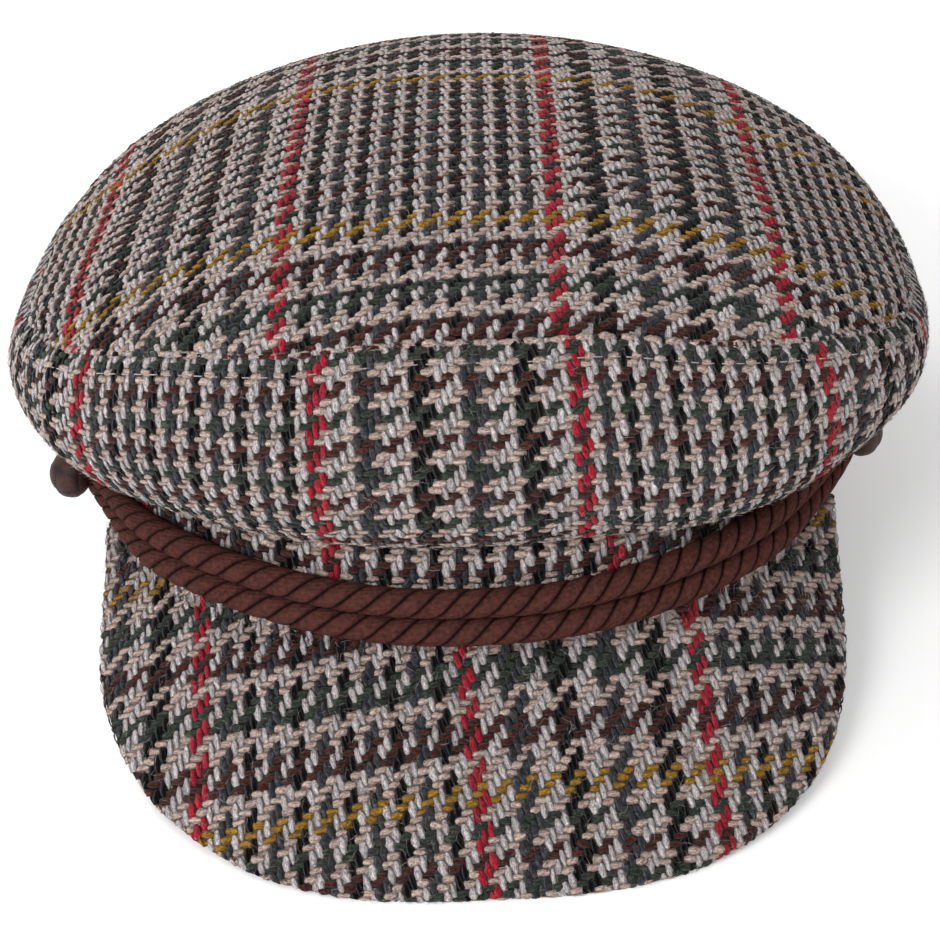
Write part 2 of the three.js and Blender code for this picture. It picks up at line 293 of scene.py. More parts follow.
def sideHandles(angle):
    turned = np.abs(turnedFrom(angle, 0)) / degree
    front, side, back = (np.array(sidePanel["profile"][a], float) for a in (0, 90, 180))
    first, second = smoothStep(0, 90, turned)[..., None], smoothStep(90, 180, turned)[..., None]
    return np.moveaxis(front + (side - front) * first + (back - side) * second, -1, 0)


def sideBare(angle, depth):
    leave, fall, meet, lift = sideHandles(angle)
    out, up = outward(angle), np.array([0, 0, 1.0])
    seam, foot = seamPoint(angle), headPoint(angle, 0, sidePanel["bandTop"])
    leaving = seam + out * (leave * np.cos(fall * degree))[..., None]
    leaving = leaving - up * (leave * np.sin(fall * degree))[..., None]
    meeting = foot + out * (meet * np.cos(lift * degree))[..., None]
    meeting = meeting + up * (meet * np.sin(lift * degree))[..., None]
    t = depth[..., None]
    curve = seam * (1 - t) ** 3 + 3 * leaving * t * (1 - t) ** 2
    curve = curve + 3 * meeting * t ** 2 * (1 - t) + foot * t ** 3
    folds = sidePanel["folds"]
    wave = np.sin(folds["count"] * angle + folds["phase"]) * np.sin(3 * angle + 1)
    strength = folds["depth"] * depth * (1 - depth) * 4 * (0.3 + 0.7 * np.sin(angle / 2) ** 2)
    droop = sidePanel["droop"]
    hang = smoothStep(*droop["grows"], angle / degree) * (1 - smoothStep(*droop["fades"], angle / degree))
    hang = hang * smoothStep(*droop["deepens"], depth)
    hang = droop["fall"] * hang * (1 - smoothStep(*droop["ends"], depth))
    return curve + out * (wave * strength + 0.4 * hang)[..., None] - up * hang[..., None]


# How long the side cloth is from seam to band, by angle, and how its length runs down the front
tableAngles = np.linspace(-math.pi, 2 * math.pi, 217)
tableDepths = np.linspace(0, 1, 41)
tableSteps = np.linalg.norm(np.diff(sideBare(*np.meshgrid(tableAngles, tableDepths)), axis=0), axis=-1)
sideLengths = tableSteps.sum(0)
frontColumn = 72  # where tableAngles passes 0
sideShares = np.concatenate([[0], tableSteps[:, frontColumn].cumsum() / sideLengths[frontColumn]])


def sideDown(angle, depth):
    # Millimetres of cloth from the top seam
    beyond = depth - np.clip(depth, 0, 1)
    return np.interp(angle, tableAngles, sideLengths) * (np.interp(depth, tableDepths, sideShares) + beyond)


def sidePoint(angle, depth):
    down = sideDown(angle, depth)
    length = np.interp(angle, tableAngles, sideLengths)
    points = tucked(sideBare(angle, depth), angle, down)
    pull = sidePanel["footTuck"] * bell(length - down, sidePanel["footWidth"])
    return points - outward(angle) * pull[..., None]


def widening(depth):
    # The threads spread from the seam to the fullest part
    return 1 + sidePanel["spread"] * np.maximum(depth, 0) ** sidePanel["spreadPower"]


def sideThreads(angle, depth):
    s = sidePanel
    warp = np.interp(angle / widening(depth) / degree, list(s["stripes"]), list(s["stripes"].values()))
    return warp, s["firstRow"] + sideDown(angle, depth) / s["row"]


def backThreads(angle, depth):
    s = sidePanel
    atSeam = (angle - math.pi) / widening(depth)
    return s["backWarp"] - atSeam / degree * s["backPitch"], s["backRow"] + sideDown(angle, depth) / s["row"]


bandStrip = {
    "height": 26.9, "wall": 3.0, "bulge": 0.4, "tuck": 0.8, "tuckWidth": 1.6,
    "stripes": (-22, 46.5, 21, 1.5),  # angle and warp thread of two red lines
    "firstRow": 7.25, "row": 2.0,
}


def bandPoint(angle, path):
    # path runs down the outside, round the folded edge and up the inside, in heights of the band
    height, wall = bandStrip["height"], bandStrip["wall"]
    straight = height - wall / 2
    bend = math.pi * wall / 2
    down = path * height
    turn = np.clip((down - straight) / bend, 0, 1) * math.pi
    rise = np.maximum(down - straight - bend, 0)
    z = height - np.minimum(down, straight) - np.sin(turn) * wall / 2 + rise
    bulge = bandStrip["bulge"] * np.sin(np.clip(down / straight, 0, 1) * math.pi)
    pull = bandStrip["tuck"] * bell(down, bandStrip["tuckWidth"])
    out = -wall / 2 * (1 - np.cos(turn)) + bulge - pull
    points = headPoint(angle, out, 0)
    points[..., 2] = z
    return points


def bandThreads(angle, path):
    first, firstWarp, second, secondWarp = bandStrip["stripes"]
    warp = firstWarp + (angle / degree - first) * (secondWarp - firstWarp) / (second - first)
    return warp, bandStrip["firstRow"] + path * bandStrip["height"] / bandStrip["row"]


cords = {  # angles in degrees; the neck is where the two are drawn together under a button
    "radius": 3.8, "gap": 0.3, "pitch": 7.75, "lay": 18.9, "steps": 420, "end": 77,
    "lowest": 6.5, "rise": 4.5, "riseFrom": 5, "riseTo": 50, "rightRise": 4.6, "rightFrom": 42,
    "neck": 28, "neckRadius": 1.9, "neckPitch": 3.7, "neckRise": 1.8,
    "neckOut": (2.6, 8.0), "neckEase": (4, 1.3),  # left and right
}


def cordNeck(angle):
    # 0 along the front and 1 at a button
    return smoothStep(cords["end"] - cords["neck"], cords["end"], np.abs(angle) / degree)


def cordHeight(angle, level):
    s = cords
    middle = s["lowest"] + s["pitch"] / 2
    middle = middle + s["rise"] * smoothStep(s["riseFrom"], s["riseTo"], np.abs(angle) / degree)
    middle = middle + s["neckRise"] * cordNeck(angle)
    middle = middle + s["rightRise"] * smoothStep(s["rightFrom"], s["end"], angle / degree)
    return middle + (level - 0.5) * (s["pitch"] + (s["neckPitch"] - s["pitch"]) * cordNeck(angle))


peakBoard = {
    "halfAngle": 72.5, "halfWidth": 98.1, "reach": 110.3, "power": 2.8, "drop": 44.7, "dropPower": 0.76,
    "flare": 2.4, "right": 1.8, "bow": 1.6, "wall": 3.6, "lip": 1.4, "gap": 0.3,
    "climb": 50, "proud": 0.9, "proudFrom": 1.5,  # the flap that is sewn up the band, under the cords
    "endRise": 6.5, "endFrom": 0.86, "endFade": 11,  # the ends rise to the cords
    "leftCorner": 2.2, "rightCorner": 1.2, "cornerAt": 0.86, "cornerWidth": 0.13, "cornerFade": (0.02, 0.3),
    "leftSwell": 2.3, "swellAt": 0.36, "swellWidth": 0.24, "swellFrom": 0.2,
    "limit": 0.999, "cut": 0.98,  # as far to the sides as the curve is read, and where its ends are rolled
}


def peakSkin(u, v):
    # u runs from the left end to the right one, and v from the band to the edge, or below 0 up the band
    s = peakBoard
    root = headPoint(u * s["halfAngle"] * degree, 0, -s["gap"])
    corner = headPoint(np.array([s["halfAngle"] * degree]), 0, 0)[0]
    turn = (1 - np.abs(u)) * math.pi / 2
    c, n = np.cos(turn), np.sin(turn)
    scale = (np.abs(c) ** s["power"] + np.abs(n) ** s["power"]) ** (-1 / s["power"])
    x = s["right"] * (1 - n) + np.sign(u) * (s["halfWidth"] - s["flare"] * (1 - n) ** 2) * c * scale
    ahead = n * scale
    pull = np.where(u < 0, s["leftCorner"], -s["rightCorner"])
    pull = pull * bell(ahead - s["cornerAt"], s["cornerWidth"]) * smoothStep(*s["cornerFade"], np.abs(u))
    swell = np.where(u < -s["swellFrom"], s["leftSwell"], 0) * bell(ahead - s["swellAt"], s["swellWidth"])
    edge = np.stack([x + pull - swell, corner[1] - s["reach"] * ahead,
                     -s["gap"] - s["drop"] * ahead ** s["dropPower"]], -1)
    points = root + (edge - root) * np.maximum(v, 0)[..., None]
    flap = np.maximum(-v, 0) * s["climb"]
    proud = s["proud"] * np.minimum(flap / s["proudFrom"], 1)
    points = points + outward(u * s["halfAngle"] * degree) * proud[..., None]
    points[..., 2] += s["bow"] * 4 * v * (1 - v) * (1 - u * u) * (v > 0) + flap
    rise = s["endRise"] * smoothStep(s["endFrom"], 1, np.abs(u))
    points[..., 2] += rise * np.clip(1 - flap / s["endFade"], 0, 1)
    return points


def peakTop(u):
    # The lowest v, up under the lower cord
    room = cordHeight(u * peakBoard["halfAngle"] * degree, 0) - cords["radius"]
    return -(room + 0.6) / peakBoard["climb"]


def normals(surface, u, v, step=0.002):
    alongU = surface(u + step, v) - surface(u - step, v)
    alongV = surface(u, v + step) - surface(u, v - step)
    return unit(np.cross(alongV, alongU))


def peakPoint(u, v):
    # v is 0 at the band and 1 at the edge of the top skin, 1.1 after the folded edge, 2.1 back at the band
    s = peakBoard
    u = np.clip(u, -s["limit"], s["limit"])
    reach = np.where(v <= 1, v, np.clip(2.1 - v, 0, 1))
    skin = peakSkin(u, reach)
    wall = s["wall"] * normals(peakSkin, np.clip(u, -0.97, 0.97), reach)
    turn = np.clip((v - 1) / 0.1, 0, 1) * math.pi
    away = unit(skin - peakSkin(u, reach - 0.05))
    cut = np.clip((np.abs(u) - s["cut"]) / (1 - s["cut"]), 0, 1)
    roll = np.cos(turn) * (1 - np.sqrt(1 - 0.99 * cut ** 2)) * (v > 0)
    across = wall * ((1 - np.cos(turn) + roll) / 2)[..., None]
    return skin - across + away * (s["lip"] * np.sin(turn))[..., None]


peakCloth = {
    "row": 1.97, "warp": 1.525, "rootFront": 94.6, "corner": 0.75, "soft": 8, "fold": 55,
    "mustard": 36.7, "mustardRow": 1.5,  # how far down the peak the mustard line lies, and its row
    "red": -2.5, "redThread": 85.5,  # x of the middle red line 30 mm down, and its thread
    "middle": 15, "leanLeft": 0.114, "leanRight": 0.065,  # slope of the rows on both sides of x = 15
    "fanFrom": 30, "fanMiddle": -5, "fanBase": 0.07, "fan": 0.0017,
}


def peakThreads(u, v):
    s = peakCloth
    u = np.clip(u, -peakBoard["limit"], peakBoard["limit"])
    skin = peakSkin(u, np.minimum(v, 1))
    fold = unit(peakSkin(u, v * 0 + 1) - peakSkin(u, v * 0 + 0.95))
    x, y, z = np.moveaxis(skin + fold * (np.maximum(v - 1, 0) * s["fold"])[..., None], -1, 0)
    ahead = -(y + s["rootFront"])
    front = (ahead + np.hypot(ahead, s["soft"])) / 2
    down = np.hypot(front, np.minimum(z, 0)) + s["corner"] * (ahead - front)
    down = down - np.maximum(z, 0)
    lean = np.where(x < s["middle"], s["leanLeft"], s["leanRight"])
    weft = s["mustardRow"] + (down - s["mustard"] + (x - s["middle"]) * lean) / s["row"]
    fan = s["fanBase"] + s["fan"] * np.minimum(x - s["fanMiddle"], 0)
    return s["redThread"] - (x - s["red"] - fan * (down - s["fanFrom"])) / s["warp"], weft


def paramsAt(panel, warp, weft, u, v):
    # Where on the panel two threads cross, found from a first guess by Newton's steps
    step = 1e-4
    for _ in range(10):
        p, q = panel["threads"](u, v)
        pu, qu = panel["threads"](u + step, v)
        pv, qv = panel["threads"](u, v + step)
        a, b, c, d = (pu - p) / step, (pv - p) / step, (qu - q) / step, (qv - q) / step
        determinant = a * d - b * c
        determinant = np.where(np.abs(determinant) < 1e-9, 1e-9, determinant)
        du = ((warp - p) * d - (weft - q) * b) / determinant
        dv = ((weft - q) * a - (warp - p) * c) / determinant
        u = np.clip(u + np.clip(du, -0.2, 0.2), panel["u"][0] - 0.05, panel["u"][1] + 0.05)
        v = np.clip(v + np.clip(dv, -0.2, 0.2), panel["v"][0] - 0.05, panel["v"][1] + 0.05)
    return u, v


def firstGuess(panel, warp, weft):
    u, v = np.meshgrid(np.linspace(*panel["u"], 90), np.linspace(*panel["v"], 45))
    p, q = panel["threads"](u, v)
    p, q, u, v = p.ravel(), q.ravel(), u.ravel(), v.ravel()
    found = [np.argmin((p - a) ** 2 + (q - b) ** 2) for a, b in zip(warp, weft)]
    return u[found], v[found]


yarnShape = {
    "stations": np.array([-0.52, 0.2, 1.0, 1.8, 2.52]),  # along a float over two threads
    "longest": 4.6,  # mm between its second and fourth stations, which are 3 mm apart on flat cloth
    "warp": {
        "lift": np.array([-0.8, -0.3, -0.2, -0.3, -0.8]), "width": np.array([0, 0.74, 1.0, 0.78, 0]),
        "half": 0.96, "thick": 0.27, "lean": -0.2,
    },
    "weft": {
        "lift": np.array([-0.85, -0.34, -0.24, -0.34, -0.85]), "width": np.array([0, 0.8, 1.0, 0.8, 0]),
        "half": 1.02, "thick": 0.27, "lean": 0.04,
    },
    # how much one float differs from the next, in threads, shares and mm
    "slide": 0.08, "turn": 0.1, "shift": 0.1, "size": 0.1, "waist": 0.14, "height": 0.06,
    "offBy": 0.2, "strained": 0.4,  # threads that a float's middle and its stations may lie off
}


def yarnFloats(panel):
    # Each float is a flat closed tube of three rings of three points, with its tips sunk in the cloth
    stations = yarnShape["stations"]
    u, v = np.meshgrid(np.linspace(*panel["u"], 60), np.linspace(*panel["v"], 60))
    p, q = panel["threads"](u, v)
    p0, q0 = np.meshgrid(np.arange(math.floor(p.min()), p.max()), np.arange(math.floor(q.min()), q.max()))
    points, threads, fibres = [], [], []
    for isWarp in (False, True):
        shape = yarnShape["warp" if isWarp else "weft"]
        first = (p0 - q0) % 4 == (3 if isWarp else 0)
        ps, qs = p0[first], q0[first]
        middle = (ps + 0.5, qs + 1.0) if isWarp else (ps + 1.0, qs + 0.5)
        um, vm = firstGuess(panel, *middle)
        um, vm = paramsAt(panel, *middle, um, vm)
        pm, qm = panel["threads"](um, vm)
        good = np.maximum(np.abs(pm - middle[0]), np.abs(qm - middle[1])) < yarnShape["offBy"]
        good = good & panel["holds"](um, vm)
        ps, qs, um, vm = ps[good], qs[good], um[good], vm[good]
        count = len(ps)
        along = stations[None, :] + rng.normal(0, yarnShape["slide"], (count, 1))
        slant = (along - 1) * rng.normal(shape["lean"], yarnShape["turn"], (count, 1))
        slant = slant + rng.normal(0, yarnShape["shift"], (count, 1))
        if isWarp:
            warp, weft = ps[:, None] + 0.5 + slant, qs[:, None] + along
        else:
            warp, weft = ps[:, None] + along, qs[:, None] + 0.5 + slant
        un, vn = paramsAt(panel, warp, weft, np.repeat(um[:, None], 5, 1), np.repeat(vm[:, None], 5, 1))
        pn, qn = panel["threads"](un, vn)
        reach = panel["surface"](un[:, 3], vn[:, 3]) - panel["surface"](un[:, 1], vn[:, 1])
        whole = (np.maximum(np.abs(pn - warp), np.abs(qn - weft)) < yarnShape["strained"]).all(1)
        whole = whole & (np.linalg.norm(reach, axis=-1) < yarnShape["longest"])
        ps, qs, un, vn, count = ps[whole], qs[whole], un[whole], vn[whole], int(whole.sum())
        un, vn = panel["kept"](un, vn)
        centre = panel["surface"](un, vn)
        normal = normals(panel["surface"], un, vn)
        length = unit(np.gradient(centre, axis=1))
        side = unit(np.cross(length, normal))
        half = shape["half"] * shape["width"][None, :, None]
        half = half * rng.normal(1, yarnShape["size"], (count, 1, 1))
        half = half * rng.normal(1, yarnShape["waist"], (count, 5, 1))
        thick = panel.get("fullness", 1) * shape["thick"] * shape["width"][None, :, None]
        thick = thick * rng.normal(1, yarnShape["size"], (count, 1, 1))
        lift = shape["lift"][None, :, None] + rng.normal(0, yarnShape["height"], (count, 1, 1))
        centre = centre + normal * lift
        ring = np.stack([centre + side * half, centre + normal * thick, centre - side * half], 2)[:, 1:4]
        block = np.concatenate([centre[:, :1], ring.reshape(count, 9, 3), centre[:, 4:]], 1)
        points.append(block.reshape(-1, 3))
        shade = rng.random(count)
        pair = np.stack([ps + 0.5, qs + 0.5, shade], -1)
        threads.append(np.repeat(pair[:, None], 11, 1).reshape(-1, 3))
        run = np.array([0] + [1] * 3 + [2] * 3 + [3] * 3 + [4])
        around = np.array([0] + [0, 1, 2] * 3 + [0])
        # place along and across the yarn in mm, shifted for each float so that no two look alike; the third
        # value 1 marks a float, which gets no painted gap shade
        fibre = np.stack([stations[run] * 2.0 + shade[:, None] * 40, around * 0.6 + shade[:, None] * 17,
                          np.ones((count, 11))], -1)
        fibres.append(fibre.reshape(-1, 3))
    points = np.concatenate(points)
    ends = [(0, 1 + k, 1 + (k + 1) % 3) for k in range(3)]
    ends = ends + [(7 + k, 10, 7 + (k + 1) % 3) for k in range(3)]
    walls = [(b + k, b + 3 + k, b + 3 + (k + 1) % 3, b + (k + 1) % 3) for b in (1, 4) for k in range(3)]
    faces = []
    for start in range(0, len(points), 11):
        faces.extend([tuple(start + i for i in face) for face in ends + walls])
    return points, faces, np.concatenate(threads), np.concatenate(fibres)


def wallFaces(rows, columns, isRound):
    # Outer grid and inner grid of points, joined into a closed wall
    faces, last = [], columns if isRound else columns - 1

    def at(layer, row, column):
        return layer * rows * columns + row * columns + column % columns

    for row in range(rows - 1):
        for k in range(last):
            faces.append((at(0, row, k), at(0, row + 1, k), at(0, row + 1, k + 1), at(0, row, k + 1)))
            faces.append((at(1, row, k), at(1, row, k + 1), at(1, row + 1, k + 1), at(1, row + 1, k)))
        if not isRound:
            faces.append((at(0, row, 0), at(1, row, 0), at(1, row + 1, 0), at(0, row + 1, 0)))
            faces.append((at(0, row, last), at(0, row + 1, last), at(1, row + 1, last), at(1, row, last)))
    for k in range(last):
        row = rows - 1
        faces.append((at(0, 0, k), at(0, 0, k + 1), at(1, 0, k + 1), at(1, 0, k)))
        faces.append((at(0, row, k), at(1, row, k), at(1, row, k + 1), at(0, row, k + 1)))
    return faces


def fineTubes(line, across, normal, radius):
    # Thin closed tubes with pointed ends through four points each
    count = len(line)
    corners = [(0, 1), (-0.87, -0.5), (0.87, -0.5)]
    ring = np.stack([line[:, 1:3] + (across * a + normal * b) * radius for a, b in corners], 2)
    block = np.concatenate([line[:, :1], ring.reshape(count, 6, 3), line[:, 3:]], 1)
    shape = [(0, 2, 1), (0, 3, 2), (0, 1, 3), (7, 4, 5), (7, 5, 6), (7, 6, 4)]
    shape = shape + [(1, 2, 5, 4), (2, 3, 6, 5), (3, 1, 4, 6)]
    return block.reshape(-1, 3), [tuple(8 * k + i for i in face) for k in range(count) for face in shape]


strayHair = {
    "length": (1.2, 5.0), "radius": 0.034, "bend": 0.5, "turn": 0.6, "loose": (-0.3, 0.9),
    "pale": 0.5, "paleWarp": 3.5, "paleWeft": (3.5, 0.5),  # share of pale fibres, and their threads
}


def strayHairs(panel, count):
    # Single fibres that have worked loose and lie on the cloth
    s = strayHair
    u, v = rng.uniform(*panel["u"], 3 * count), rng.uniform(*panel["v"], 3 * count)
    inside = panel["holds"](u, v)
    u, v = (side[inside][:count, None] for side in (u, v))
    u, v = panel["kept"](u, v)
    count = len(u)
    warp, weft = panel["threads"](u, v)
    pale, odd = rng.random((2, count, 1)) < s["pale"]
    paleWeft = np.where(odd, s["paleWeft"][1], s["paleWeft"][0])
    threads = np.stack([np.where(pale, s["paleWarp"], np.floor(warp) + 0.5),
                        np.where(pale, paleWeft, np.floor(weft) + 0.5), np.ones((count, 1))], -1)
    middle, normal = panel["surface"](u, v), normals(panel["surface"], u, v)
    ahead = unit(panel["surface"](u + 0.002, v) - panel["surface"](u - 0.002, v))
    turn = (rng.choice([0, math.pi / 2], (count, 1)) + rng.normal(0, s["turn"], (count, 1)))[..., None]
    across = np.cross(normal, ahead)
    ahead, across = (ahead * np.cos(turn) + across * np.sin(turn),
                     across * np.cos(turn) - ahead * np.sin(turn))
    along = np.array([-0.5, -0.17, 0.17, 0.5])[:, None] * rng.uniform(*s["length"], (count, 1, 1))
    bend = np.array([1, 0, 0.1, 1.2])[:, None] * rng.normal(0, s["bend"], (count, 1, 1))
    loose = np.array([0, 0, 0.3, 1])[:, None] * rng.uniform(*s["loose"], (count, 1, 1))
    line = middle + ahead * along + across * bend + normal * (np.array([-0.4, 0.1, 0.2, 0])[:, None] + loose)
    points, faces = fineTubes(line, across, normal, s["radius"])
    fibres = np.concatenate([np.broadcast_to(u[..., None], (count, 8, 1)) * 50, np.zeros((count, 8, 1)),
                             np.ones((count, 8, 1))], -1)
    return points, faces, np.repeat(threads, 8, 1).reshape(-1, 3), fibres.reshape(-1, 3)


topStitch = {
    "down": 5.6, "length": 2.7, "pitch": 4.0, "radius": 0.18, "lift": 0.1, "sunk": 0.7,
    "clear": 0.12, "uneven": 0.12, "thread": (3.5, 0.5, 1.0),  # the pale yarns' threads
}


def topStitches(panel):
    # The line of pale thread that is sewn along a side panel, under its top seam
    s = topStitch
    low, high = panel["u"]
    line = np.linspace(low + s["clear"], high - s["clear"], 2000)
    depth = s["down"] / np.interp(line, tableAngles, sideLengths)
    depth = np.interp(depth, sideShares, tableDepths)
    travel = np.linalg.norm(np.diff(sidePoint(line, depth), axis=0), axis=1).cumsum()
    starts = np.arange(1, travel[-1] - s["pitch"], s["pitch"])[:, None]
    stops = starts + np.array([0, 0.15, 0.85, 1]) * s["length"] + rng.normal(0, s["uneven"], starts.shape)
    u = np.interp(stops, travel, line[1:])
    v = np.interp(u, line, depth)
    normal = normals(sidePoint, u, v)
    points = sidePoint(u, v) + normal * (s["lift"] - np.array([s["sunk"], 0, 0, s["sunk"]])[:, None])
    across = np.cross(normal, unit(np.gradient(points, axis=1)))
    points, faces = fineTubes(points, across[:, 1:3], normal[:, 1:3], s["radius"])
    return points, faces, np.tile(s["thread"], (len(points), 1)), np.tile([0, 0, 1.0], (len(points), 1))


clothDepth = {"outer": 0.62, "inner": 2.0}


def clothPiece(name, panel, node):
    # A closed wall of cloth with the yarn floats of its weave lying on it
    u, v = panel["grid"]
    surface = panel["surface"](u, v)
    normal = normals(panel["surface"], u, v)
    outer = surface - normal * clothDepth["outer"]
    inner = surface - normal * panel.get("inner", clothDepth["inner"])
    warp, weft = panel["threads"](u, v)
    flat = np.stack([warp, weft, np.full_like(warp, 0.5)], -1).reshape(-1, 3)
    points = np.concatenate([outer.reshape(-1, 3), inner.reshape(-1, 3)])
    faces = wallFaces(*u.shape, panel["round"])
    # the third value 0 marks the ground cloth, which the tweed darkens with painted shade between the floats
    fibre = np.stack([warp * 1.5, weft * 2.0, warp * 0], -1).reshape(-1, 3)
    threads, fibres = np.concatenate([flat, flat]), np.concatenate([fibre, fibre])
    for morePoints, moreFaces, moreThreads, moreFibres in [
            yarnFloats(panel), strayHairs(panel, panel["hairs"])] + panel.get("extras", []):
        faces = faces + [tuple(i + len(points) for i in face) for face in moreFaces]
        points = np.concatenate([points, morePoints])
        threads = np.concatenate([threads, moreThreads])
        fibres = np.concatenate([fibres, moreFibres])
    meshPiece(name, points, faces, tweed, node, {"threads": threads, "fibre": fibres})


def finishPiece(piece, material, node):
    mesh = piece.data
    mesh.materials.append(material)
    mesh.polygons.foreach_set("use_smooth", [True] * len(mesh.polygons))
    mesh.update()
    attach(piece, "root")
    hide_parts(node)
    triangles = sum(len(p.vertices) - 2 for p in mesh.polygons)
    print(f"{piece.name}: {triangles} triangles")


def meshPiece(name, points, faces, material, node, attributes):
    mesh = bpy.data.meshes.new(name)
    mesh.from_pydata(placed(points).tolist(), [], faces)
    for key, values in attributes.items():
        layer = mesh.attributes.new(key, "FLOAT_VECTOR", "POINT")
        layer.data.foreach_set("vector", values.astype(np.float32).ravel())
    piece = bpy.data.objects.new(name, mesh)
    bpy.context.collection.objects.link(piece)
    bpy.ops.object.select_all(action="DESELECT")
    bpy.context.view_layer.objects.active = piece
    piece.select_set(True)
    bpy.ops.object.mode_set(mode="EDIT")
    bpy.ops.mesh.select_all(action="SELECT")
    bpy.ops.mesh.remove_doubles(threshold=1e-7)
    bpy.ops.object.mode_set(mode="OBJECT")
    finishPiece(piece, material, node)


yarnColours = {
    "red": "#98182c", "white": "#b1aaa9", "black": "#050505", "slate": "#2d2e32",
    "cream": "#b3a097", "green": "#2b312c", "rust": "#3a1e1b", "mustard": "#8a6520",
}
fleckColours = {
    "red": "#b4343c", "white": "#c9c2c1", "black": "#171515", "slate": "#5b5c60",
    "cream": "#ab8672", "green": "#4c5742", "rust": "#633729", "mustard": "#b48a3a",
}


def checkRuns(line, pale, first, second):
    # One repeat of the glen check: a coloured line, a field of twos, the line again and a field of fours
    twos = [(pale, 2), (first, 2), (pale, 2), (second, 2)] * 5 + [(pale, 2)]
    fours = [(pale, 4), (first, 4), (pale, 4), (second, 4)] * 2 + [(pale, 4)]
    return [(line, 3)] + twos + [(line, 3)] + fours


warpRuns = checkRuns("red", "white", "black", "slate")
weftRuns = checkRuns("mustard", "cream", "green", "rust")


def stripeRamp(material, runs, index, colours):
    total = sum(count for _, count in runs)
    share = addNode(material, "ShaderNodeMath", {"operation": "FLOORED_MODULO"}, {0: index, 1: total})
    share = addNode(material, "ShaderNodeMath", {"operation": "DIVIDE"}, {0: share.outputs[0], 1: total})
    ramp = addNode(material, "ShaderNodeValToRGB", None, {0: share.outputs[0]})
    ramp.color_ramp.interpolation = "CONSTANT"
    start = 0
    for k, (colour, count) in enumerate(runs):
        stops = ramp.color_ramp.elements
        stop = stops[k] if k < 2 else stops.new(start / total)
        stop.position = start / total
        stop.color = linearColour(colours[colour])
        start += count
    return ramp.outputs["Color"]


# Woollen tweed: carded yarn in a 2/2 twill, matt, mottled and hairy, with a soft halo at grazing angles
tweed, shader = newMaterial("woollen_tweed")
threads = addNode(tweed, "ShaderNodeAttribute", {"attribute_name": "threads"})
split = addNode(tweed, "ShaderNodeSeparateXYZ", None, {0: threads.outputs["Vector"]})
warpIndex = addNode(tweed, "ShaderNodeMath", {"operation": "FLOOR"}, {0: split.outputs["X"]})
weftIndex = addNode(tweed, "ShaderNodeMath", {"operation": "FLOOR"}, {0: split.outputs["Y"]})
away = addNode(tweed, "ShaderNodeMath", {"operation": "SUBTRACT"}, {
    0: warpIndex.outputs[0], 1: weftIndex.outputs[0]})
cell = addNode(tweed, "ShaderNodeMath", {"operation": "FLOORED_MODULO"}, {0: away.outputs[0], 1: 4})
weftOver = addNode(tweed, "ShaderNodeMath", {"operation": "LESS_THAN"}, {0: cell.outputs[0], 1: 1.5})
warpMiddle = addNode(tweed, "ShaderNodeMath", {"operation": "ADD"}, {0: warpIndex.outputs[0], 1: 0.5})
weftMiddle = addNode(tweed, "ShaderNodeMath", {"operation": "ADD"}, {0: weftIndex.outputs[0], 1: 0.5})
shades = [addNode(tweed, "ShaderNodeMix", {"data_type": "RGBA"}, {
    "Factor": weftOver.outputs[0], 6: stripeRamp(tweed, warpRuns, warpMiddle.outputs[0], colours),
    7: stripeRamp(tweed, weftRuns, weftMiddle.outputs[0], colours),
}) for colours in (yarnColours, fleckColours)]
place = addNode(tweed, "ShaderNodeTexCoord")
# flecks of other dyed wool, just under 1 mm across
flecks = addNode(tweed, "ShaderNodeTexNoise", None, {
    "Vector": place.outputs["Object"], "Scale": 1.05 * perMillimetre, "Detail": 3, "Roughness": 0.75})
fleckShare = addNode(tweed, "ShaderNodeMapRange", None, {
    "Value": flecks.outputs["Fac"], "From Min": 0.5, "From Max": 0.66, "To Min": 0.0, "To Max": 0.85})
yarn = addNode(tweed, "ShaderNodeMix", {"data_type": "RGBA"}, {
    "Factor": fleckShare.outputs[0], 6: shades[0].outputs[2], 7: shades[1].outputs[2]})
# streaks of fibre along each yarn, drawn 2 mm long, coarser than the real ones so that they show
fibre = addNode(tweed, "ShaderNodeAttribute", {"attribute_name": "fibre"})
stretch = addNode(tweed, "ShaderNodeMapping", None, {
    "Vector": fibre.outputs["Vector"], "Scale": (0.45, 3.0, 0.0), "Rotation": (0, 0, 0.3)})
streaks = addNode(tweed, "ShaderNodeTexNoise", None, {
    "Vector": stretch.outputs["Vector"], "Scale": 1.5, "Detail": 2, "Roughness": 0.6})
fuzz = addNode(tweed, "ShaderNodeTexNoise", None, {  # hairy surface, 0.5 mm
    "Vector": place.outputs["Object"], "Scale": 2.0 * perMillimetre, "Detail": 4, "Roughness": 0.75})
grainShade = addNode(tweed, "ShaderNodeMath", {"operation": "ADD"}, {
    0: streaks.outputs["Fac"], 1: fuzz.outputs["Fac"]})
grainRange = addNode(tweed, "ShaderNodeMapRange", None, {
    "Value": grainShade.outputs[0], "From Min": 0.8, "From Max": 1.2, "To Min": 0.35, "To Max": 1.62})
# painted shade: the ground under the floats is darkened as shade between them, and each float has its own
# random tone
layer = addNode(tweed, "ShaderNodeSeparateXYZ", None, {0: fibre.outputs["Vector"]})
paintedGapShade = addNode(tweed, "ShaderNodeMapRange", None, {
    "Value": layer.outputs["Z"], "To Min": 0.72, "To Max": 1.0})
dyeShade = addNode(tweed, "ShaderNodeMapRange", None, {
    "Value": split.outputs["Z"], "To Min": 0.86, "To Max": 1.12})
shade = addNode(tweed, "ShaderNodeMath", {"operation": "MULTIPLY"}, {
    0: paintedGapShade.outputs[0], 1: dyeShade.outputs[0]})
shade = addNode(tweed, "ShaderNodeMath", {"operation": "MULTIPLY"}, {
    0: shade.outputs[0], 1: grainRange.outputs[0]})
wool = addNode(tweed, "ShaderNodeMix", {"data_type": "RGBA", "blend_type": "MULTIPLY"}, {
    "Factor": 1.0, 6: yarn.outputs[2], 7: shade.outputs[0]})
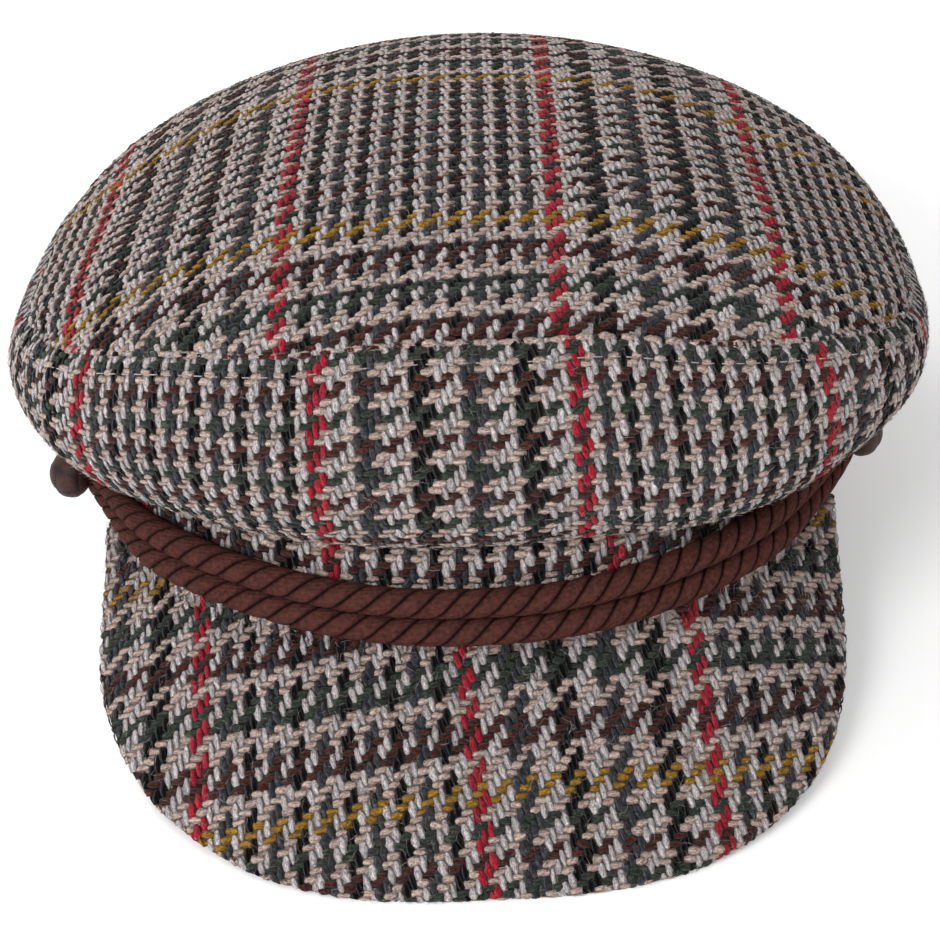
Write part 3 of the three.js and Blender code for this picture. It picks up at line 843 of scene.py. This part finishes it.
paleHair = addNode(tweed, "ShaderNodeTexNoise", None, {  # pale hairs, 0.5 mm apart
    "Vector": place.outputs["Object"], "Scale": 1.9 * perMillimetre, "Detail": 2, "Roughness": 0.7,
    "Distortion": 1.5})
paleShare = addNode(tweed, "ShaderNodeMapRange", None, {
    "Value": paleHair.outputs["Fac"], "From Min": 0.58, "From Max": 0.74, "To Min": 0.0, "To Max": 0.24})
hairy = addNode(tweed, "ShaderNodeMix", {"data_type": "RGBA"}, {
    "Factor": paleShare.outputs[0], 6: wool.outputs[2], 7: linearColour("#8b857f")})
link(tweed, hairy.outputs[2], shader.inputs["Base Color"])
bump = addNode(tweed, "ShaderNodeBump", None, {
    "Height": grainShade.outputs[0], "Strength": 0.8, "Distance": 0.0005})
link(tweed, bump.outputs["Normal"], shader.inputs["Normal"])
shader.inputs["Roughness"].default_value = 0.95
shader.inputs["Specular IOR Level"].default_value = 0.03
shader.inputs["Sheen Weight"].default_value = 0.16
shader.inputs["Sheen Roughness"].default_value = 0.3
print("the tweed is made")


def keptWithin(low, high, top=0.004, bottom=0.996):
    return lambda u, v: (np.clip(u, low, high), np.clip(v, top, bottom))


angles = np.linspace(-math.pi, math.pi, 144, endpoint=False)
shares = np.linspace(0, 1, 25) ** 0.85  # closer together towards the seam
rims = seamPoint(angles)
planX = crown["right"] + (rims[:, 0] - crown["right"])[None, :] * shares[:, None]
planY = crown["back"] + (rims[:, 1] - crown["back"])[None, :] * shares[:, None]
topCloth = {
    "surface": topPoint, "threads": topThreads, "holds": onTop, "kept": keptOnTop, "u": (-1.25, 1.35),
    "v": (-1.2, 1.15), "grid": (planX / 100, -planY / 100), "round": True,
    "hairs": 2100, "fullness": 1.7,  # yarns look rounder where they are seen at a slant
}
clothPiece("crown_top_cloth", topCloth, "crown_top")

depths = np.linspace(0, 1, 19)
seamGap = 0.002  # between the two side panels, in radians
for name, start, threadsAt in (("side_front", -90, sideThreads), ("side_back", 90, backThreads)):
    low, high = start * degree + seamGap, (start + 180) * degree - seamGap
    around, down = np.meshgrid(np.linspace(low, high, 97), depths)
    sideCloth = {
        "surface": sidePoint, "threads": threadsAt, "kept": keptWithin(low, high),
        "holds": lambda u, v, a=low, b=high: (u > a - 0.014) & (u < b + 0.014) & (v > -0.04) & (v < 1.03),
        "u": (low - 0.1, high + 0.1), "v": (-0.05, 1.05), "grid": (around, down), "round": False,
        "hairs": 3200,
    }
    sideCloth["extras"] = [topStitches(sideCloth)]
    clothPiece(f"{name}_cloth", sideCloth, name)

paths = np.array([0, 0.04, 0.1, 0.3, 0.5, 0.7, 0.85, 0.94, 0.98, 1.02, 1.06, 1.1, 1.15])
bandCloth = {
    "surface": bandPoint, "threads": bandThreads, "kept": lambda u, v: (u, np.clip(v, 0.004, 1.1)),
    "holds": lambda u, v: (np.abs(u) < math.pi) & (v > 0) & (v < 1.08), "u": (-3.25, 3.25),
    "v": (-0.05, 1.2), "grid": np.meshgrid(angles, paths), "round": True, "inner": 2.6, "hairs": 700,
}
clothPiece("band_cloth", bandCloth, "band")

ends = [0.987, 0.993, 0.997, 1]
acrosses = np.concatenate([[-end for end in reversed(ends)], np.linspace(-0.98, 0.98, 95), ends])
peakAcross, peakDown = np.meshgrid(acrosses, np.concatenate([
    [-1, -0.5, -0.1], np.linspace(0.01, 1, 14), [1.02, 1.04, 1.06, 1.08], np.linspace(1.1, 2.1, 12)]))
peakDown = np.where(peakDown < 0, -peakDown * peakTop(peakAcross), peakDown)
peakPanel = {
    "surface": peakPoint, "threads": peakThreads,
    "kept": lambda u, v: (np.clip(u, -0.995, 0.995), np.clip(v, peakTop(u), 1.07)),
    "holds": lambda u, v: (np.abs(u) < 1.01) & (v > peakTop(u)) & (v < 1.06),
    "u": (-1.02, 1.02), "v": (-0.15, 1.12), "grid": (peakAcross, peakDown), "round": False,
    "inner": 1.5, "hairs": 3000,
}
clothPiece("peak_cloth", peakPanel, "peak")

# Twisted cotton cord: three soft matt strands with fine slanting ribs, and painted shade darkening the
# grooves between them
cordMaterial, shader = newMaterial("twisted_cotton_cord")
fibre = addNode(cordMaterial, "ShaderNodeAttribute", {"attribute_name": "fibre"})
place = addNode(cordMaterial, "ShaderNodeTexCoord")
mottle = addNode(cordMaterial, "ShaderNodeTexNoise", None, {  # uneven dye, 1 mm
    "Vector": place.outputs["Object"], "Scale": 0.9 * perMillimetre, "Detail": 4, "Roughness": 0.65})
ramp = addNode(cordMaterial, "ShaderNodeValToRGB", None, {0: mottle.outputs["Fac"]})
ramp.color_ramp.elements[0].position = 0.3
ramp.color_ramp.elements[0].color = linearColour("#331e1b")
ramp.color_ramp.elements[1].position = 0.72
ramp.color_ramp.elements[1].color = linearColour("#5d3630")
groove = addNode(cordMaterial, "ShaderNodeSeparateXYZ", None, {0: fibre.outputs["Vector"]})
# painted shade: the colour is darkened towards the grooves between the strands
paintedGrooveShade = addNode(cordMaterial, "ShaderNodeMapRange", None, {
    "Value": groove.outputs["Z"], "To Min": 0.12})
dyed = addNode(cordMaterial, "ShaderNodeMix", {"data_type": "RGBA", "blend_type": "MULTIPLY"}, {
    "Factor": 1.0, 6: ramp.outputs["Color"], 7: paintedGrooveShade.outputs[0]})
link(cordMaterial, dyed.outputs[2], shader.inputs["Base Color"])
ribs = addNode(cordMaterial, "ShaderNodeTexWave", {"wave_type": "BANDS", "bands_direction": "DIAGONAL"}, {
    "Vector": fibre.outputs["Vector"], "Scale": 0.55, "Distortion": 1.0, "Detail": 2})
fuzz = addNode(cordMaterial, "ShaderNodeTexNoise", None, {
    "Vector": place.outputs["Object"], "Scale": 2.6 * perMillimetre, "Detail": 3})
rough = addNode(cordMaterial, "ShaderNodeMath", {"operation": "ADD"}, {
    0: ribs.outputs["Fac"], 1: fuzz.outputs["Fac"]})
bump = addNode(cordMaterial, "ShaderNodeBump", None, {
    "Height": rough.outputs[0], "Strength": 0.5, "Distance": 0.0002})
link(cordMaterial, bump.outputs["Normal"], shader.inputs["Normal"])
shader.inputs["Roughness"].default_value = 0.85
shader.inputs["Specular IOR Level"].default_value = 0.06

# One strand from groove to groove: degrees round the cord, share of its radius, painted shade (0 dark in the
# groove, 1 on the face)
strand = [(-60, 0.76, 0), (-56, 0.87, 0.15), (-50, 0.93, 0.5), (-39, 0.972, 0.9), (-20, 0.994, 1), (0, 1, 1)]
strand = strand + [(-turn, share, paintedShade) for turn, share, paintedShade in strand[4:0:-1]]


def cordPiece(name, level):
    s = cords
    angle = np.linspace(-s["end"], s["end"], s["steps"]) * degree
    radius = s["radius"] + (s["neckRadius"] - s["radius"]) * cordNeck(angle)
    left, right = (s["neckOut"][k] * cordNeck(angle) ** s["neckEase"][k] for k in (0, 1))
    leave = np.where(angle < 0, left, right)
    path = headPoint(angle, radius + s["gap"] + leave, 0)
    path[:, 2] = cordHeight(angle, level)
    along = np.concatenate([[0], np.linalg.norm(np.diff(path, axis=0), axis=1).cumsum()])
    ahead = unit(np.gradient(path, along, axis=0))
    out = outward(angle)
    out = unit(out - ahead * np.sum(out * ahead, -1, keepdims=True))
    up = np.cross(out, ahead)
    radius = radius * np.sqrt(np.clip(np.minimum(along, along[-1] - along) / 1.5, 0.01, 1))
    turns = np.array([turn + 120 * k for k in range(3) for turn, _, _ in strand]) * degree
    shares, paintedShades = (np.tile([row[k] for row in strand], 3) for k in (1, 2))
    twist = turns[None, :] + 2 * math.pi * (along[:, None] / s["lay"] + level * 0.4)
    reach = (radius[:, None] * shares[None, :])[..., None]
    twist = twist[..., None]
    points = path[:, None] + reach * (out[:, None] * np.cos(twist) + up[:, None] * np.sin(twist))
    fibres = np.stack(np.broadcast_arrays(along[:, None], turns[None, :] * s["radius"], paintedShades[None, :]), -1)
    sides, faces = len(turns), []
    for k in range(s["steps"] - 1):
        for j in range(sides):
            a, b = k * sides + j, k * sides + (j + 1) % sides
            faces.append((a, a + sides, b + sides, b))
    last = (s["steps"] - 1) * sides
    faces.append(tuple(range(sides)))
    faces.append(tuple(last + j for j in reversed(range(sides))))
    meshPiece(name, points.reshape(-1, 3), faces, cordMaterial, name.replace("_rope", ""),
              {"fibre": fibres.reshape(-1, 3)})


cordPiece("cord_lower_rope", 0)
cordPiece("cord_upper_rope", 1)

knot = {
    "angle": 77, "height": 15.6, "radius": 6.5, "seat": 4.6, "tall": 11.2, "strips": 3, "relief": 0.4,
    "lift": (1.4, 4.6), "out": (0, 2.6),  # left and right, to meet the cords
    "face": 1.75, "rim": 1.05,  # radians from the front to the edge of the woven face, and where it ends
}

# Woven leather: dyed hide strips with a soft worn sheen, with painted shade darkening the creases between
# strips
leather, shader = newMaterial("woven_dyed_leather")
creaseShade = addNode(leather, "ShaderNodeAttribute", {"attribute_name": "creaseShade"})
place = addNode(leather, "ShaderNodeTexCoord")
mottle = addNode(leather, "ShaderNodeTexNoise", None, {  # worn patches, 2 mm
    "Vector": place.outputs["Object"], "Scale": 0.5 * perMillimetre, "Detail": 5})
# worn patches times painted shade in the creases
wearAndCreaseShade = addNode(leather, "ShaderNodeMath", {"operation": "MULTIPLY"}, {
    0: mottle.outputs["Fac"], 1: creaseShade.outputs["Fac"]})
ramp = addNode(leather, "ShaderNodeValToRGB", None, {0: wearAndCreaseShade.outputs[0]})
ramp.color_ramp.elements[0].position = 0.1
ramp.color_ramp.elements[0].color = linearColour("#170d0b")
ramp.color_ramp.elements[1].position = 0.65
ramp.color_ramp.elements[1].color = linearColour("#452620")
link(leather, ramp.outputs["Color"], shader.inputs["Base Color"])
grain = addNode(leather, "ShaderNodeTexVoronoi", None, {  # hide grain, 0.45 mm
    "Vector": place.outputs["Object"], "Scale": 2.2 * perMillimetre})
bump = addNode(leather, "ShaderNodeBump", None, {
    "Height": grain.outputs["Distance"], "Strength": 0.35, "Distance": 0.0002})
link(leather, bump.outputs["Normal"], shader.inputs["Normal"])
shader.inputs["Roughness"].default_value = 0.6
shader.inputs["Specular IOR Level"].default_value = 0.3


def leatherKnot(name, sideSign):
    # A ball of leather strips woven over and under, pushed in from a sphere
    s = knot
    bpy.ops.object.select_all(action="DESELECT")
    bpy.ops.mesh.primitive_uv_sphere_add(segments=96, ring_count=48, radius=1)
    piece = bpy.context.object
    mesh = piece.data
    ball = np.empty(len(mesh.vertices) * 3)
    mesh.vertices.foreach_get("co", ball)
    ball = ball.reshape(-1, 3)
    polar = np.arccos(np.clip(ball[:, 2], -1, 1))
    azimuth = np.arctan2(ball[:, 1], ball[:, 0])
    reach = polar / s["face"]
    a, b = reach * np.cos(azimuth) * s["strips"] / 2, reach * np.sin(azimuth) * s["strips"] / 2
    ca, cb = np.floor(a + 0.5), np.floor(b + 0.5)
    fa, fb = a - ca, b - cb
    over = (ca + cb) % 2 == 0
    across, along = np.where(over, fa, fb), np.where(over, fb, fa)
    pad = (1 - np.abs(2 * across) ** 3) * (1 - 0.8 * np.abs(2 * along) ** 3)
    pad = np.where(reach < s["rim"], np.clip(pad, 0, 1), 0.5)
    swell = s["radius"] - s["relief"] + s["relief"] * pad
    shape = ball * swell[:, None]
    shape[:, 2] = shape[:, 2] * s["tall"] / 2 / s["radius"] + s["seat"] + s["tall"] / 2
    # painted shade: lower between the strips, where pad is low, and half-strength beyond the woven face
    creaseShade = mesh.attributes.new("creaseShade", "FLOAT", "POINT")
    creaseShade.data.foreach_set("value", (0.25 + 0.75 * pad).astype(np.float32))
    angle = np.array([sideSign * s["angle"] * degree])
    out = outward(angle)[0]
    right = unit(np.cross(np.array([0, 0, 1.0]), out))
    up = np.cross(out, right)
    lift, away = (s[key][sideSign > 0] for key in ("lift", "out"))
    points = headPoint(angle, away, s["height"] + lift)[0]
    points = points + shape[:, :1] * right + shape[:, 1:2] * up + shape[:, 2:] * out
    mesh.vertices.foreach_set("co", placed(points).ravel())
    piece.name = name
    finishPiece(piece, leather, name.replace("_knot", ""))


leatherKnot("button_left_knot", -1)
leatherKnot("button_right_knot", 1)
